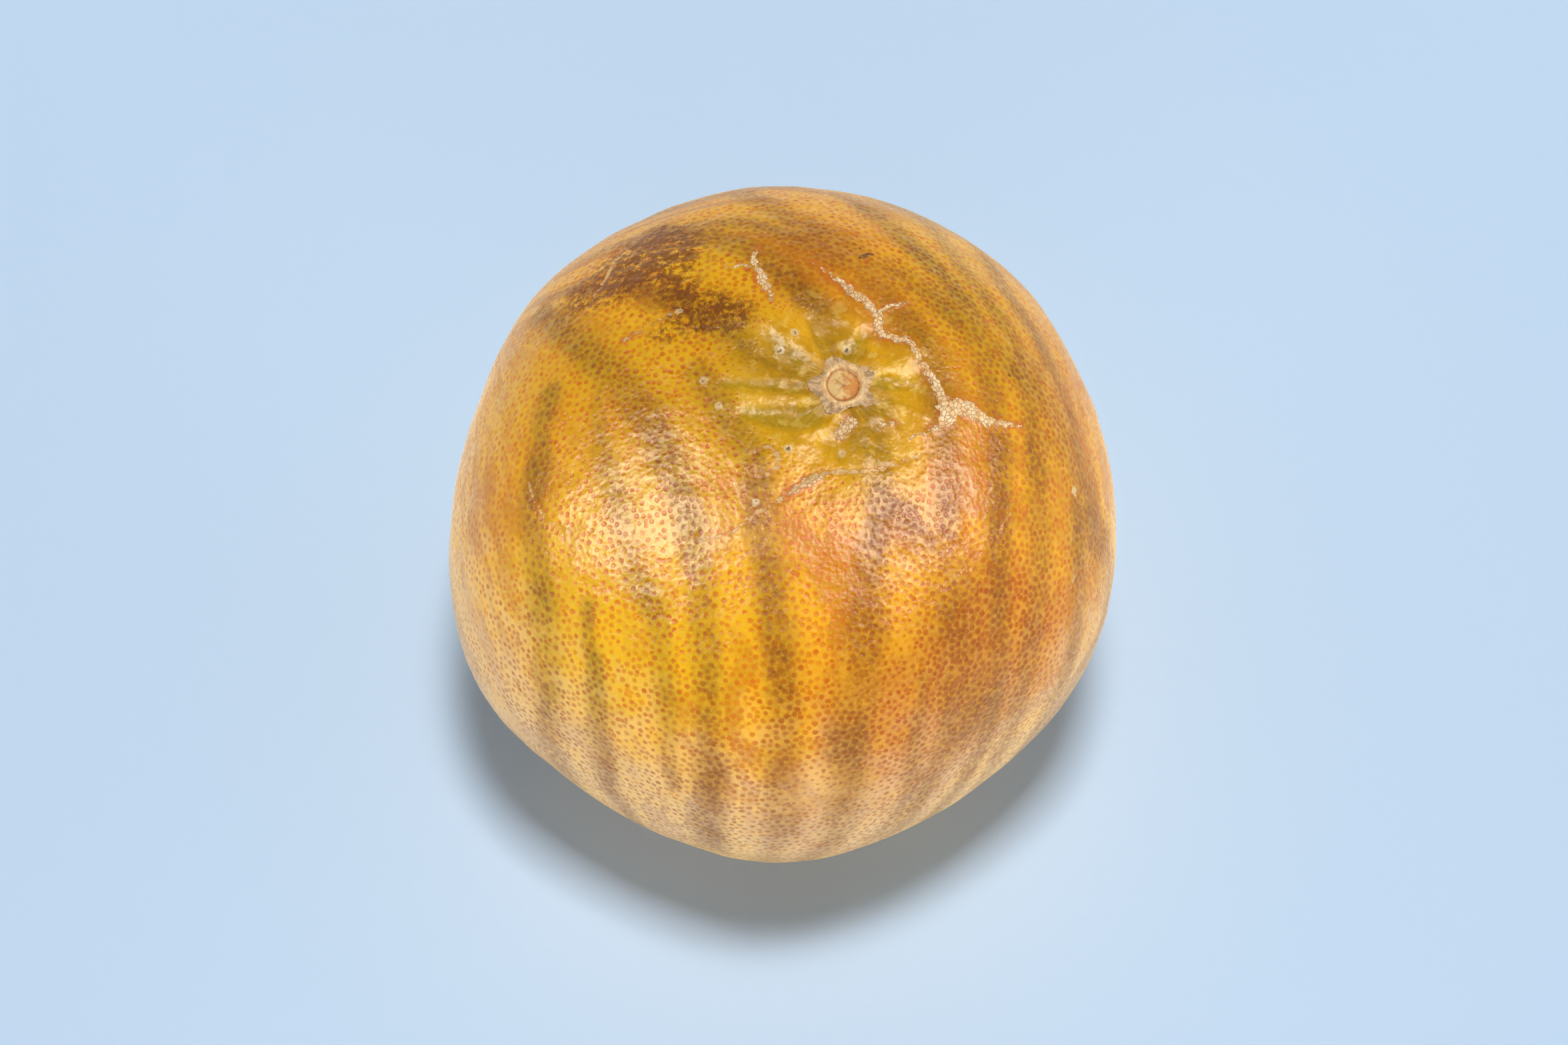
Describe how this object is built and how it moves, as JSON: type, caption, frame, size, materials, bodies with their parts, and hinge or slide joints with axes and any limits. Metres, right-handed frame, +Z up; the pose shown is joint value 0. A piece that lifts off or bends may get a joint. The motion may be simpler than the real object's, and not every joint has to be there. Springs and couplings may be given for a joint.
{
  "type": "striped grapefruit",
  "caption": "Whole striped grapefruit with pitted orange-yellow rind, dark soft stripes, corky scars and a dried calyx button, resting on a small flat spot.",
  "frame": {"origin": "middle of the small flat spot the fruit rests on", "axes": "+Z up from the rest spot through the body, +X the side the stem end leans toward, -Y the side facing the viewer"},
  "size_m": [0.0986, 0.1005, 0.0872],
  "materials": {
    "rind": "pitted satin citrus rind, orange-yellow with soft dark stripes",
    "dry_calyx": "dry, matt, grey-tan with a buff middle"
  },
  "bodies": {
    "root": {"fruit": "rind", "calyx_button": "dry_calyx"}
  },
  "joints": []
}
